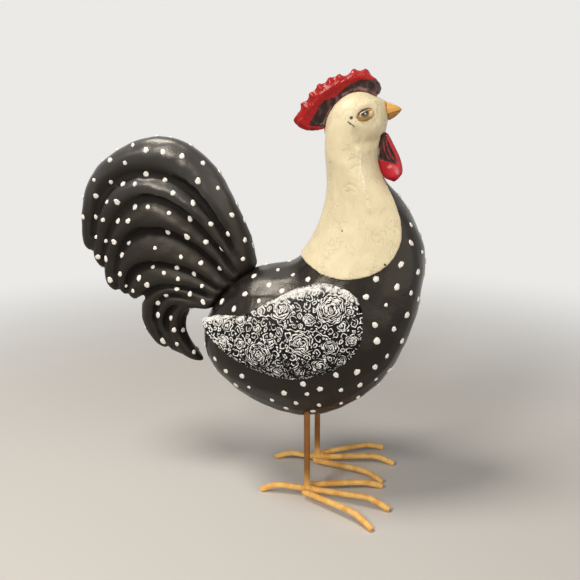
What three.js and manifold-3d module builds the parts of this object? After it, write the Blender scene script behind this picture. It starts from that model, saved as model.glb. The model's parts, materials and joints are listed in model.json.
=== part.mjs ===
// Standing rooster figurine: cast resin pieces, slipped and pegged together, on two bent rod legs.
// Lengths are millimetres. X points to the beak, Y to the bird's left, Z up from the table.
// The shapes are drawn with x = 0 at the leg rods, and the finished bird is centred at the end.

import * as THREE from 'three';
import { mergeVertices } from 'three/addons/utils/BufferGeometryUtils.js';
import Module from 'manifold-3d';

// Gap left round every seated piece
const clearance = 0.3;

// A length that reaches past the bird on every side, for the cutting blocks
const beyond = 400;

// Legs and feet
const rodDiameter = 4.8;
const legSpacing = 49.5;
const legBoreTop = 96;
const shankFoot = 3.2;
const toeWeldHeight = 6.1;
const toeTipHeight = 1.8;
const toeOverlap = 2.2;
const innerToeReach = 61.2;
const innerToeGap = 1.3;
const bendStart = 0.85;
const bendEnd = 0.45;

// Neck casting
const neckStubTop = 247;
const capeThickness = 2;

// Tail
const tailRootThickness = 28;
const tailTipThickness = 12;
const tailTenonDiameter = 17;
const tailTenonDepth = 20;

// Wings
const wingEdge = 2.2;
const wingDome = 3.4;
const wingBack = 4;
const wingPegDiameter = 5;
const wingPegDepth = 9;

// Comb, beak, wattles and eyes
const combWebThickness = 8.6;
const combPegDiameter = 3;
const combPegDepth = 8;
const beakHalfWidth = 5;
const beakPegDiameter = 4;
const beakPegDepth = 7;
const wattleSpacing = 6.4;
const wattlePegDiameter = 2.4;
const wattlePegDepth = 6;
const eyeLength = 12.6;
const eyeHeight = 7;
const eyeThickness = 5;

const wasm = await Module();
wasm.setup();

const vector = (x, y, z) => new THREE.Vector3(x, y, z);

// A closed mesh as a solid that can be joined and cut
function toSolid(geometry) {
  const bare = new THREE.BufferGeometry();
  bare.setAttribute('position', geometry.getAttribute('position'));
  bare.setIndex(geometry.getIndex());
  const merged = mergeVertices(bare, 1e-4);
  return new wasm.Manifold(new wasm.Mesh({
    numProp: 3,
    vertProperties: new Float32Array(merged.getAttribute('position').array),
    triVerts: new Uint32Array(merged.getIndex().array),
  }));
}

function toGeometry(solid) {
  const { vertProperties, triVerts } = solid.getMesh();
  const geometry = new THREE.BufferGeometry();
  geometry.setAttribute('position', new THREE.BufferAttribute(vertProperties, 3));
  geometry.setIndex(new THREE.BufferAttribute(triVerts, 1));
  geometry.computeVertexNormals();
  return geometry;
}

// The same solid on the bird's other side
function mirrored(solid) {
  const geometry = toGeometry(solid).scale(1, -1, 1);
  geometry.setIndex(Array.from(geometry.getIndex().array).reverse());
  return toSolid(geometry);
}

// Straight round bar from one point to another
function bar(from, to, diameter, sides = 16) {
  const along = to.clone().sub(from);
  const cylinder = new THREE.CylinderGeometry(diameter / 2, diameter / 2, along.length(), sides);
  cylinder.applyQuaternion(new THREE.Quaternion().setFromUnitVectors(vector(0, 1, 0), along.normalize()));
  const middle = from.clone().add(to).multiplyScalar(0.5);
  return toSolid(cylinder.translate(middle.x, middle.y, middle.z));
}

// Peg through a seat: it stands proud of the seat, inside its own piece, and goes deep into the
// piece behind. With a gap around it, it is the bore instead.
function peg({ seat, inward, proud, depth, diameter }, around = 0) {
  const direction = inward.clone().normalize();
  const from = seat.clone().addScaledVector(direction, -proud);
  const to = seat.clone().addScaledVector(direction, depth + around);
  return bar(from, to, diameter + 2 * around);
}

// Hand-picked rows of numbers, run smoothly from the first row to the last
function smoothRows(rows, count) {
  const runs = rows[0].map((_, column) => (
    new THREE.SplineCurve(rows.map((row, index) => new THREE.Vector2(index, row[column])))
  ));
  return Array.from({ length: count }, (_, step) => (
    runs.map((run) => run.getPoint(step / (count - 1)).y)
  ));
}

// Skin over closed rings of equal count, closed by a point at each end, faces turned outwards.
// The second half of each ring is split the other way, so that left and right sides match.
function loft(startPoint, rings, endPoint) {
  const perRing = rings[0].length;
  const points = [...rings.flat(), startPoint, endPoint];
  const lastRing = (rings.length - 1) * perRing;
  const start = points.length - 2;
  const end = points.length - 1;
  const corners = [];
  for (let i = 0; i < perRing; i += 1) {
    const next = (i + 1) % perRing;
    corners.push(start, next, i);
    corners.push(end, lastRing + i, lastRing + next);
    for (let ring = 0; ring < lastRing; ring += perRing) {
      const [a, b, c, d] = [ring + i, ring + next, ring + perRing + next, ring + perRing + i];
      if (i < perRing / 2) corners.push(a, b, c, a, c, d);
      else corners.push(a, b, d, b, c, d);
    }
  }
  let volume = 0;
  for (let i = 0; i < corners.length; i += 3) {
    const [a, b, c] = [points[corners[i]], points[corners[i + 1]], points[corners[i + 2]]];
    volume += a.dot(b.clone().cross(c));
  }
  if (volume < 0) corners.reverse();
  const geometry = new THREE.BufferGeometry().setFromPoints(points);
  geometry.setIndex(corners);
  return toSolid(geometry);
}

// Limb along a line in the bird's middle plane. Each row is x, z and the sizes of the section
// there, from which sectionOf makes a ring of points: how far across the line, how far along Y.
function limb(rows, count, sectionOf, y = 0) {
  const smooth = smoothRows(rows, count);
  const rings = smooth.slice(1, -1).map(([x, z, ...sizes], index) => {
    const before = smooth[index];
    const after = smooth[index + 2];
    const across = vector(before[1] - after[1], 0, after[0] - before[0]).normalize();
    return sectionOf(...sizes).map(([offset, side]) => {
      const point = vector(x, y, z).addScaledVector(across, offset);
      point.y += side;
      return point;
    });
  });
  const [first] = rows;
  const last = rows[rows.length - 1];
  return loft(vector(first[0], y, first[1]), rings, vector(last[0], y, last[1]));
}

// Limb of oval section: the sizes are half the height across the line and half the width along Y
function ovalLimb(rows, count, sides, y = 0) {
  const oval = (halfHeight, halfWidth) => Array.from({ length: sides }, (_, i) => {
    const angle = (i / sides) * 2 * Math.PI;
    return [halfHeight * Math.cos(angle), halfWidth * Math.sin(angle)];
  });
  return limb(rows, count, oval, y);
}

// Side-view outline as a prism, centred on the middle plane
function prism(outline, width = 2 * beyond) {
  const shape = new THREE.Shape(outline.map(([x, z]) => new THREE.Vector2(x, z)));
  const block = new THREE.ExtrudeGeometry(shape, { depth: width, bevelEnabled: false });
  block.rotateX(Math.PI / 2);
  return toSolid(block.translate(0, width / 2, 0));
}

// Bird's skin, from the rump round to the face. Each rib joins a point on the back line to one
// on the belly line: back x, back z, belly x, belly z, half width, and how far below the middle
// of the rib its widest place lies, as a share of half the rib.
const rump = [-86.5, 121, -86.5, 121, 0, 0];
const face = [51, 296.5, 51, 296.5, 0, 0];
const ribs = [
  rump,
  [-85.2, 131, -84.6, 110, 12, 0],
  [-81, 143, -79, 98.5, 23, 0],
  [-73, 155, -70, 87.8, 32, 0],
  [-62, 167, -57.5, 77.5, 39, 0],
  [-48, 176.5, -42, 69, 44, 0],
  [-34, 180.5, -22, 62.5, 46.5, 0],
  [-21, 182.5, 0, 60.5, 48, 0.05],
  [-11, 186.5, 24, 69, 47.5, 0.1],
  [-2.5, 197.5, 45, 84, 45.5, 0.2],
  [3.5, 208, 62, 104, 42, 0.3],
  [7.5, 218, 74, 130, 37.5, 0.35],
  [10, 228.5, 80.3, 157, 32.5, 0.35],
  [11.3, 238, 83.6, 184, 28, 0.3],
  [11.5, 247, 79, 206.5, 24, 0.2],
  [11, 255, 68, 227, 20.5, 0.1],
  [10.4, 262, 54.5, 241, 18, 0],
  [10.3, 268.5, 47.2, 252, 16.5, 0],
  [10.5, 274.5, 45, 263, 15.8, 0],
  [10.6, 281, 46.3, 272, 15.6, 0],
  [12.5, 288.5, 49.6, 277.5, 15.4, 0],
  [17, 296, 50.4, 281.5, 14.8, 0],
  [25, 302, 51, 284.5, 13, 0],
  [34, 304, 51.6, 287.5, 10.5, 0],
  [42, 302, 52, 290.5, 7.5, 0],
  face,
];
const ribCount = 38;
const pointsPerRib = 24;

// The skin as it is, or grown outwards by a coat or a clearance
function birdSkin(grow) {
  const rings = smoothRows(ribs, ribCount).slice(1, -1).map((row) => {
    const [backX, backZ, bellyX, bellyZ, halfWidth, sag] = row;
    const middle = vector((backX + bellyX) / 2, 0, (backZ + bellyZ) / 2);
    const up = vector(backX, 0, backZ).sub(middle);
    const reach = up.length() + grow;
    up.normalize();
    return Array.from({ length: pointsPerRib }, (_, i) => {
      const angle = (i / pointsPerRib) * 2 * Math.PI;
      const rise = Math.cos(angle) - sag * Math.sin(angle) ** 2;
      const point = middle.clone().addScaledVector(up, reach * rise);
      point.y = (halfWidth + grow) * Math.sin(angle);
      return point;
    });
  });
  return loft(vector(rump[0] - grow, 0, rump[1]), rings, vector(face[0] + grow, 0, face[1] + grow / 2));
}

const skin = birdSkin(0);
const seatOnSkin = birdSkin(clearance);
const capeSkin = birdSkin(capeThickness);
const seatOnHead = birdSkin(capeThickness + clearance);
const above = (z) => prism([[-beyond, z], [beyond, z], [beyond, beyond], [-beyond, beyond]]);
const below = (z) => prism([[-beyond, -beyond], [beyond, -beyond], [beyond, z], [-beyond, z]]);

// Side view of the neck casting: the curved lower edge of the cape, up the breast to the throat,
// then wide round the head
const capeEdge = [
  [-13, 194], [-8, 190.6], [-5, 188.6], [1.7, 185.3], [8.3, 182], [16, 179.4], [30, 178], [46, 181.6],
  [57.5, 189], [64.5, 200], [66, 212], [62, 227], [55, 240], [50.5, 246.5],
];

function capeRegion() {
  const edge = new THREE.SplineCurve(capeEdge.map(([x, z]) => new THREE.Vector2(x, z))).getPoints(26);
  const aroundHead = [[90, 262], [90, 330], [-40, 330], [-40, 200]];
  return prism([...edge.map((point) => [point.x, point.y]), ...aroundHead]);
}

// Tail joint: a round tenon on the fan goes into the rump, square to the back line
const tailTenon = {
  seat: vector(-62, 0, 166),
  inward: vector(0.65, 0, -0.76),
  proud: 9,
  depth: tailTenonDepth,
  diameter: tailTenonDiameter,
};

// Feathers of the fan, top one first, each from its root to its tip: x, z, half width, and the
// width of the trough between it and the next one. All start from one point inside the rump.
const tailHeart = [-44, 158];
const feathers = [
  [[-49, 181, 4.5, 2], [-54.5, 201, 5.8, 3], [-67, 225.5, 7.6, 4.4], [-82, 248, 9.7, 5.8],
    [-102, 263, 10.6, 9.4], [-124, 267, 9.4, 10.3], [-146.5, 262.5, 6.6, 9.3], [-166, 252, 5.2, 9.3],
    [-178, 236.5, 4.4, 7.5], [-183.5, 217, 4.4, 4.5], [-185, 201, 4.6, 2.5], [-185, 191, 4, 1.5],
    [-184, 185, 0, 1]],
  [[-52, 177, 4.5, 2.3], [-62, 192, 4.3, 2], [-74, 207, 5.2, 3], [-88, 223.5, 6.5, 4.2],
    [-106, 236, 7.3, 3.8], [-129, 242, 6.6, 4.8], [-147, 238.5, 6.8, 7], [-161, 227.5, 6.7, 7.2],
    [-170, 212, 5.8, 5.2], [-175.5, 195, 4.8, 4], [-177, 181, 3.8, 3], [-175.5, 171, 0, 1]],
  [[-58, 172, 4.5, 3.2], [-68, 184, 4.3, 2.2], [-80, 196, 5.6, 2.2], [-96, 208, 7.5, 1.8],
    [-112, 217, 9.5, 3.4], [-127, 220, 11.3, 3.9], [-144, 215, 8.4, 3.5], [-157, 203.5, 5.6, 3.4],
    [-165.5, 187, 4.2, 5.8], [-168.5, 170, 4, 6.3], [-167.5, 159.5, 3.2, 5.5], [-164, 151.5, 0, 2]],
  [[-63, 164, 4.5, 1], [-76, 174, 6.6, 1.6], [-90, 183.5, 8.8, 1.7], [-106, 190, 11, 1.7],
    [-124, 193, 11.8, 1.8], [-140, 189.5, 10.6, 1.5], [-151.5, 180, 7.6, 1.2], [-157, 167, 4.6, 1],
    [-157.5, 156.5, 3, 1.4], [-155.5, 148.5, 0, 1]],
  [[-69, 158.5, 4, 2.5], [-82, 164, 5, 3.2], [-96, 168.5, 6.8, 2.2], [-112, 171, 8.1, 1],
    [-128, 170, 9, 2], [-140, 164.5, 8.6, 3.5], [-147, 156, 5.6, 4.6], [-148.5, 150, 3, 4],
    [-147, 146, 0, 2]],
  [[-74, 153.5, 4, 1], [-86, 155, 3.8, 1], [-99, 158, 3.6, 1], [-113, 159.5, 3.6, 1],
    [-125, 155, 4.2, 1.2], [-134, 146, 5.4, 1.3], [-136.5, 134, 6.2, 1], [-133, 121.5, 5, 1],
    [-127, 111.5, 3, 1], [-121, 104.5, 0, 0.5]],
  [[-78, 150.5, 3.5, 1], [-92, 151, 3.4, 1], [-105, 152, 4.2, 1], [-116, 149.5, 5.2, 1],
    [-123, 142, 4.8, 1], [-125.5, 131, 3.8, 1], [-122.5, 119, 3.2, 1], [-116.5, 108.5, 3, 1],
    [-109, 101, 0, 0.5]],
  [[-80, 148.5, 4, 0], [-92, 148.5, 3.4, 0.2], [-102.5, 146.5, 3.8, 0.8], [-111, 139, 5.2, 1.2],
    [-114.5, 127, 6.2, 1.2], [-111.7, 114.5, 6.2, 1.2], [-103.8, 105, 5, 0.8], [-96, 100.2, 3, 0.5],
    [-88.5, 97.3, 0, 0]],
];

// Section of a feather: from its thin outer edge the blade rises in a curve to its crest, near
// the inner edge, drops into the trough, and goes on under the next feather
function featherSection(halfWidth, trough, halfThickness) {
  const foot = halfWidth + trough;
  const hidden = foot + Math.min(3, 2 * trough);
  const side = [
    [-0.88 * halfWidth, 0.38 * halfThickness],
    [-0.55 * halfWidth, 0.66 * halfThickness],
    [-0.05 * halfWidth, 0.88 * halfThickness],
    [0.55 * halfWidth, halfThickness],
    [halfWidth, 0.93 * halfThickness],
    [foot, 0.36 * halfThickness],
    [hidden, 0.22 * halfThickness],
  ];
  const otherSide = side.map(([across, y]) => [across, -y]).reverse();
  return [[-halfWidth, 0], ...side, [hidden, 0], ...otherSide];
}

function tail() {
  const blades = feathers.map((feather) => {
    const last = feather.length - 1;
    const rows = feather.map((row, index) => {
      const thickness = THREE.MathUtils.lerp(tailRootThickness, tailTipThickness, index / last);
      return [...row, index === last ? 0 : thickness / 2];
    });
    return limb([[...tailHeart, 0, 0, 0], ...rows], 2 * rows.length + 2, featherSection);
  });
  const fan = blades.reduce((joined, blade) => joined.add(blade)).subtract(seatOnSkin);
  return fan.add(peg(tailTenon));
}

// Wings: a teardrop plate bent into a shallow bowl to lie along the body's side. The bowl gives
// the seat's distance from the middle plane at any place in the side view.
const wingMiddle = [-2, 140];
const wingOutline = [
  [-80, 141.5], [-72, 145], [-47, 151], [-26, 160.3], [-9, 168.8], [9.6, 175], [26.6, 175],
  [38.9, 167], [42, 150], [40.9, 134.8], [31.6, 120.7], [14.9, 111], [-6.5, 105.8],
  [-31.6, 109.8], [-55, 119], [-73, 131],
];

function wingBowl(x, z) {
  const height = z - 130;
  const crown = 46.9 - 0.095 * height;
  return crown - 0.00228 * x * x - 0.00542 * height * height + 0.00232 * x * height;
}

const wingPegs = [[-34, 133], [18, 140]].map(([x, z]) => ({
  seat: vector(x, wingBowl(x, z), z),
  inward: vector(0, -1, 0),
  proud: wingEdge,
  depth: wingPegDepth,
  diameter: wingPegDiameter,
}));

function leftWing() {
  const corners = wingOutline.map(([x, z]) => vector(x, 0, z));
  const outline = new THREE.CatmullRomCurve3(corners, true, 'centripetal').getPoints(32).slice(0, -1);
  const ringAt = (share, lift) => outline.map((corner) => {
    const x = THREE.MathUtils.lerp(wingMiddle[0], corner.x, share);
    const z = THREE.MathUtils.lerp(wingMiddle[1], corner.z, share);
    return vector(x, wingBowl(x, z) + lift, z);
  });
  // From the hollow back round the edge to the dome: size of each ring as a share of the outline,
  // and its height over the bowl
  const lifts = [
    [0.5, -wingBack], [1, -wingBack], [1, wingEdge * 0.3], [0.95, wingEdge],
    [0.8, wingEdge + wingDome * 0.5], [0.5, wingEdge + wingDome * 0.85],
  ];
  const [x, z] = wingMiddle;
  const backPoint = vector(x, wingBowl(x, z) - wingBack, z);
  const frontPoint = vector(x, wingBowl(x, z) + wingEdge + wingDome, z);
  const plate = loft(backPoint, lifts.map(([share, lift]) => ringAt(share, lift)), frontPoint);
  return wingPegs.reduce((joined, joint) => joined.add(peg(joint)), plate.subtract(seatOnSkin));
}

// Comb: an upright web over the crown under a thick, flared rim with two rows of small points,
// two broad points in front, and a lip along its lower back edge
const combRim = [
  [-15, 285.8, 0, 0], [-11, 287.5, 3, 2.5], [-5, 290.5, 5.2, 5], [1.5, 297.3, 5.4, 6.5],
  [7, 303.3, 5.4, 7], [13.5, 307.6, 5, 7], [20.5, 310.6, 4.4, 7], [28, 313, 3.8, 6.5],
  [34, 313.6, 3.4, 6], [39.5, 312, 3.8, 5.6], [43.5, 308.6, 3.6, 5], [45.2, 304.6, 2.6, 3.6],
  [45, 301.8, 0, 0],
];
const combLip = [
  [-14.5, 285.3, 0, 0], [-10, 283, 1.8, 2], [-3, 280.8, 2, 3], [5, 281.2, 2, 3.4], [10, 284, 0, 0],
];
const combWeb = [
  [-10, 285], [1.5, 299], [13, 309], [27, 314], [43, 311.5], [46.5, 304], [40, 297], [24, 292],
  [15, 282], [6, 280], [-3, 280.5],
];
const headMiddle = vector(31, 0, 286);
const combPegs = [vector(17, 0, 298.5), vector(33, 0, 306)].map((seat) => ({
  seat,
  inward: headMiddle.clone().sub(seat),
  proud: 5,
  depth: combPegDepth,
  diameter: combPegDiameter,
}));
const pairedPoints = [0.2, 0.275, 0.35, 0.425, 0.5];
const pairedShape = { footRadius: 3, tipRadius: 1.5, height: 2, sides: 8 };
const singlePoints = [0.6, 0.69];
const singleShape = { footRadius: 6, tipRadius: 1.1, height: 3.2, sides: 12 };

// Blunt cone on the rim, at a share of its length, on one side or in the middle. Its foot is sunk
// halfway into the rim.
function combPoint(along, side, { footRadius, tipRadius, height, sides }) {
  const rimAt = (share) => smoothRows(combRim, 101)[Math.round(share * 100)];
  const [x, z, halfHeight, halfWidth] = rimAt(along);
  const [nextX, nextZ] = rimAt(along + 0.01);
  const outward = vector(z - nextZ, 0, nextX - x).normalize();
  const sunk = halfHeight / 2;
  const foot = vector(x, side * (halfWidth - footRadius), z).addScaledVector(outward, sunk);
  const length = height + sunk;
  const cone = new THREE.CylinderGeometry(tipRadius, footRadius, length, sides);
  cone.translate(0, length / 2, 0);
  cone.applyQuaternion(new THREE.Quaternion().setFromUnitVectors(vector(0, 1, 0), outward));
  return toSolid(cone.translate(foot.x, foot.y, foot.z));
}

function comb() {
  const parts = [
    ovalLimb(combRim, 20, 12),
    ovalLimb(combLip, 8, 8),
    prism(combWeb, combWebThickness),
    ...pairedPoints.flatMap((along) => [-1, 1].map((side) => combPoint(along, side, pairedShape))),
    ...singlePoints.map((along) => combPoint(along, 0, singleShape)),
  ];
  const cast = parts.reduce((joined, part) => joined.add(part)).subtract(seatOnHead);
  return combPegs.reduce((joined, joint) => joined.add(peg(joint)), cast);
}

// Beak: a short cone on an oval foot, drooping a little to its point
const beakRows = [
  [44, 291.5, 0, 0], [46, 291.5, 6.9, 1.1], [52, 291.5, 6.6, 1], [56, 291.8, 5, 0.8],
  [60, 292.3, 2.6, 0.46], [62.6, 292, 0, 0],
];
const beakPeg = {
  seat: vector(52, 0, 292),
  inward: vector(-1, 0, 0),
  proud: 3,
  depth: beakPegDepth,
  diameter: beakPegDiameter,
};

function beak() {
  const rows = beakRows.map(([x, z, halfHeight, share]) => [x, z, halfHeight, beakHalfWidth * share]);
  return ovalLimb(rows, 12, 10).subtract(seatOnHead).add(peg(beakPeg));
}

// Wattles: two flat drops that hang side by side from the chin, against the throat
const wattleRows = [
  [48.5, 278.5, 0, 0], [50.3, 275.5, 3, 0.8], [51.8, 270.5, 4.4, 0.8], [53.4, 264, 6.2, 0.85],
  [55, 257.5, 7.6, 0.95], [57, 251, 7.4, 1], [58.3, 246.8, 5.8, 0.85], [58.9, 243.2, 0, 0],
];
const wattlePeg = {
  seat: vector(51, wattleSpacing / 2, 273.5),
  inward: vector(-0.8, 0, 0.6),
  proud: 1.5,
  depth: wattlePegDepth,
  diameter: wattlePegDiameter,
};

function leftWattle() {
  const halfWidth = wattleSpacing / 2 - clearance;
  const rows = wattleRows.map(([x, z, halfHeight, share]) => [x, z, halfHeight, halfWidth * share]);
  return ovalLimb(rows, 14, 12, wattleSpacing / 2).subtract(seatOnHead).add(peg(wattlePeg));
}

// Eyes: almond beads let into the head, corner to corner along the cheek
const eyePlace = vector(38.6, 15.2, 288.7);
const eyeForward = vector(11, -4, 5.5).normalize();
const eyeOutward = vector(0.25, 0.94, 0.24);

function leftEye(around = 0) {
  const upward = eyeForward.clone().cross(eyeOutward).normalize();
  const outward = upward.clone().cross(eyeForward).normalize();
  const bead = new THREE.SphereGeometry(1, 16, 10);
  bead.scale(eyeLength / 2 + around, eyeThickness / 2 + around, eyeHeight / 2 + around);
  bead.applyMatrix4(new THREE.Matrix4().makeBasis(eyeForward, outward, upward));
  return toSolid(bead.translate(eyePlace.x, eyePlace.y, eyePlace.z));
}

// Neck casting: slips over the neck stub, with holes for the comb, beak and wattles
function neckAndHead() {
  const hollow = seatOnSkin.subtract(above(neckStubTop + clearance));
  const cuts = [
    hollow,
    ...combPegs.map((joint) => peg(joint, clearance)),
    peg(beakPeg, clearance),
    peg(wattlePeg, clearance),
    mirrored(peg(wattlePeg, clearance)),
    leftEye(clearance),
    mirrored(leftEye(clearance)),
  ];
  return cuts.reduce((cast, cut) => cast.subtract(cut), capeSkin.intersect(capeRegion()));
}

// Torso casting: stub for the neck, socket for the tail, bores for the legs and wing pegs
function body() {
  const legBore = bar(vector(0, legSpacing / 2, 0), vector(0, legSpacing / 2, legBoreTop + clearance),
    rodDiameter + 2 * clearance);
  const cuts = [
    above(neckStubTop),
    peg(tailTenon, clearance),
    legBore,
    mirrored(legBore),
    ...wingPegs.map((joint) => peg(joint, clearance)),
    ...wingPegs.map((joint) => mirrored(peg(joint, clearance))),
  ];
  return cuts.reduce((cast, cut) => cast.subtract(cut), skin);
}

// Toes: rods raised off the table, bent down near the tip and cut square. The reach is measured
// from the leg rod, and the turn, in radians, from straight ahead. The bend is at a share of the
// reach, and its curve runs from a share of the way to it (bendStart) to a share of the way from
// it to the tip (bendEnd). The two inner toes turn in until only a small gap is left between them.
const innerTurn = Math.asin((legSpacing - rodDiameter - innerToeGap) / 2 / innerToeReach);
const toes = [
  { name: 'outer_toe', reach: 64.6, turn: 0.592, bendAt: 0.76, bendHeight: 8.2, beside: 1 },
  { name: 'middle_toe', reach: 65.3, turn: 0.143, bendAt: 0.78, bendHeight: 9, beside: 0 },
  { name: 'inner_toe', reach: innerToeReach, turn: -innerTurn, bendAt: 0.76, bendHeight: 7.2, beside: -1 },
  { name: 'back_toe', reach: 37.1, turn: 3.11, bendAt: 0.65, bendHeight: 7.4, beside: 0 },
];

// The side toes lie along the leg rod with their cut ends just behind it; the others butt on it
function leftToe({ reach, turn, bendAt, bendHeight, beside }) {
  const pointAt = (distance, height) => (
    vector(distance * Math.cos(turn), legSpacing / 2 + distance * Math.sin(turn), height)
  );
  const butt = rodDiameter / 2 + clearance;
  const start = beside === 0
    ? pointAt(butt, toeWeldHeight)
    : vector(-toeOverlap, legSpacing / 2 + beside * (rodDiameter + clearance), toeWeldHeight);
  const bend = pointAt(reach * bendAt, bendHeight);
  const tip = pointAt(reach, toeTipHeight);
  const intoBend = start.clone().lerp(bend, bendStart);
  const outOfBend = bend.clone().lerp(tip, bendEnd);
  const path = new THREE.CurvePath();
  path.add(new THREE.LineCurve3(start, intoBend));
  path.add(new THREE.QuadraticBezierCurve3(intoBend, bend, outOfBend));
  path.add(new THREE.LineCurve3(outOfBend, tip));
  const section = new THREE.Shape().absarc(0, 0, rodDiameter / 2, 0, 2 * Math.PI);
  const rod = new THREE.ExtrudeGeometry(section, { steps: 8, curveSegments: 5, extrudePath: path });
  return toSolid(rod).subtract(below(0));
}

function leftShank() {
  return bar(vector(0, legSpacing / 2, shankFoot), vector(0, legSpacing / 2, legBoreTop), rodDiameter, 20);
}

const bird = new THREE.Group();

function addPiece(name, solid, color, roughness, metalness = 0) {
  const material = new THREE.MeshStandardMaterial({ color, roughness, metalness });
  const mesh = new THREE.Mesh(toGeometry(solid), material);
  mesh.name = name;
  bird.add(mesh);
}

function addPair(name, leftSolid, color, roughness, metalness) {
  addPiece(`left_${name}`, leftSolid, color, roughness, metalness);
  addPiece(`right_${name}`, mirrored(leftSolid), color, roughness, metalness);
}

addPiece('body', body(), 0x141312, 0.38);
addPiece('tail', tail(), 0x171615, 0.4);
addPiece('neck_and_head', neckAndHead(), 0xe9dfc4, 0.55);
addPiece('comb', comb(), 0xb01a1c, 0.35);
addPiece('beak', beak(), 0xd99a3a, 0.45);
addPair('wattle', leftWattle(), 0xb3161c, 0.3);
addPair('eye', leftEye(), 0x2a160a, 0.12);
addPair('wing', leftWing(), 0x8d8d8b, 0.5);
addPair('shank', leftShank(), 0xa66a24, 0.42, 0.2);
toes.forEach((toe) => addPair(toe.name, leftToe(toe), 0xd49a4a, 0.42, 0.2));

// Centre the bird over its own footprint, with the table at z = 0
const extent = new THREE.Box3().setFromObject(bird);
bird.position.set(-(extent.min.x + extent.max.x) / 2, 0, 0);
bird.updateMatrixWorld(true);

const figurine = new THREE.Group();
figurine.add(bird);

export default figurine;
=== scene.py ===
"""Standing rooster ornament: painted resin castings on two legs of bent steel rod.

X points to the beak, Y to the bird's left and Z up from the table. Blender's lengths are metres,
and the sizes of the bird's own pieces are written in millimetres.
"""

import json
import math
import random

import bpy
import numpy as np
from mathutils import Matrix, Vector
from mathutils.bvhtree import BVHTree
from mathutils.kdtree import KDTree

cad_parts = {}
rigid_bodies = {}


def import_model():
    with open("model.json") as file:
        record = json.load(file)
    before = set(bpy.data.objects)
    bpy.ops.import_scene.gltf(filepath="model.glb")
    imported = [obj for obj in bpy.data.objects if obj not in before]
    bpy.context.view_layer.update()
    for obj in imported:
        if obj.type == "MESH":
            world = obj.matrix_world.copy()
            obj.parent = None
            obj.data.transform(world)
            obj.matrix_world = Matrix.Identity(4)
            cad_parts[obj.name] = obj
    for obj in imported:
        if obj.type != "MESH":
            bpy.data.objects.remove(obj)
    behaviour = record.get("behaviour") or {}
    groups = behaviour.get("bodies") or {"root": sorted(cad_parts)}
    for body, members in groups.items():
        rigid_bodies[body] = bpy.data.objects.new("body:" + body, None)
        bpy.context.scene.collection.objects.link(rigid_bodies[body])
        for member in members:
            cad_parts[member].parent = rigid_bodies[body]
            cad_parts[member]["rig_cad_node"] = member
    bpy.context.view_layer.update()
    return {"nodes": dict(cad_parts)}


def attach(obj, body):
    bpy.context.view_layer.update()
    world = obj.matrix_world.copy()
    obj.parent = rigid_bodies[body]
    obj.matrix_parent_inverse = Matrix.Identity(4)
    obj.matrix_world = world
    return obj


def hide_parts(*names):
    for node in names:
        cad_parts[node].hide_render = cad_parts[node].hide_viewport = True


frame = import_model()
bpy.ops.object.select_all(action="DESELECT")

scene = bpy.context.scene
scene.view_settings.view_transform = "Standard"


# Camera
# It stands on the bird's right, level with the cheek, tipped down and turned towards the tail.
# Its place in metres and angles in radians were solved from the feet in the picture.

CAMERA_PLACE = (0.1287, -0.4396, 0.2717)
CAMERA_PITCH = 0.2430
CAMERA_YAW = -0.2095
CAMERA_ROLL = -0.0069

# In pixels of the picture
PICTURE_WIDTH = 580
FOCAL_LENGTH = 600

camera = bpy.data.objects.new("camera", bpy.data.cameras.new("camera"))
camera.data.sensor_width = 36
camera.data.lens = camera.data.sensor_width * FOCAL_LENGTH / PICTURE_WIDTH
camera.data.clip_start = 0.01
camera.data.clip_end = 20
camera.matrix_world = (
    Matrix.Translation(CAMERA_PLACE)
    @ Matrix.Rotation(-CAMERA_YAW, 4, "Z")
    @ Matrix.Rotation(math.pi / 2 - CAMERA_PITCH, 4, "X")
    @ Matrix.Rotation(CAMERA_ROLL, 4, "Z")
)
scene.collection.objects.link(camera)
scene.camera = camera


# Table and light
# A pale matt table that fades into the pale background. Two small warm lamps hang above the
# tail, one of them towards the camera, and a wide one fills in from ahead of the bird.

MM = 0.001
BACKGROUND = (0.83, 0.82, 0.80)
TABLE = (0.60, 0.585, 0.56)
TABLE_RADIUS = 6
FADE_START = 0.2
FADE_END = 0.9
ROOM_LIGHT = (0.9, 0.93, 1.0)
ROOM_STRENGTH = 0.08
LAMPLIGHT = (1.0, 0.94, 0.86)
LAMPS_AIM = (0, 0, 0.15)


class Value:
    """A number in a node tree. Arithmetic on it adds the Math nodes."""

    def __init__(self, nodes, socket):
        self.nodes = nodes
        self.socket = socket

    def math(self, operation, *others):
        sockets = dict(enumerate([self, *others]))
        return self.nodes.node("Math", {"operation": operation}, sockets)

    def __add__(self, other):
        return self.math("ADD", other)

    def __sub__(self, other):
        return self.math("SUBTRACT", other)

    def __rsub__(self, other):
        return self.nodes.node("Math", {"operation": "SUBTRACT"}, {0: other, 1: self})

    def __mul__(self, other):
        return self.math("MULTIPLY", other)

    def __pow__(self, other):
        return self.math("POWER", other)

    __radd__ = __add__
    __rmul__ = __mul__

    def absolute(self):
        return self.math("ABSOLUTE")

    def larger(self, other):
        return self.math("MAXIMUM", other)

    def rise(self, low, high):
        """0 below low, 1 above high, and smooth between. With low above high it falls."""
        settings = {"interpolation_type": "SMOOTHSTEP"}
        sockets = {"Value": self, "From Min": low, "From Max": high}
        return self.nodes.node("MapRange", settings, sockets)


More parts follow.
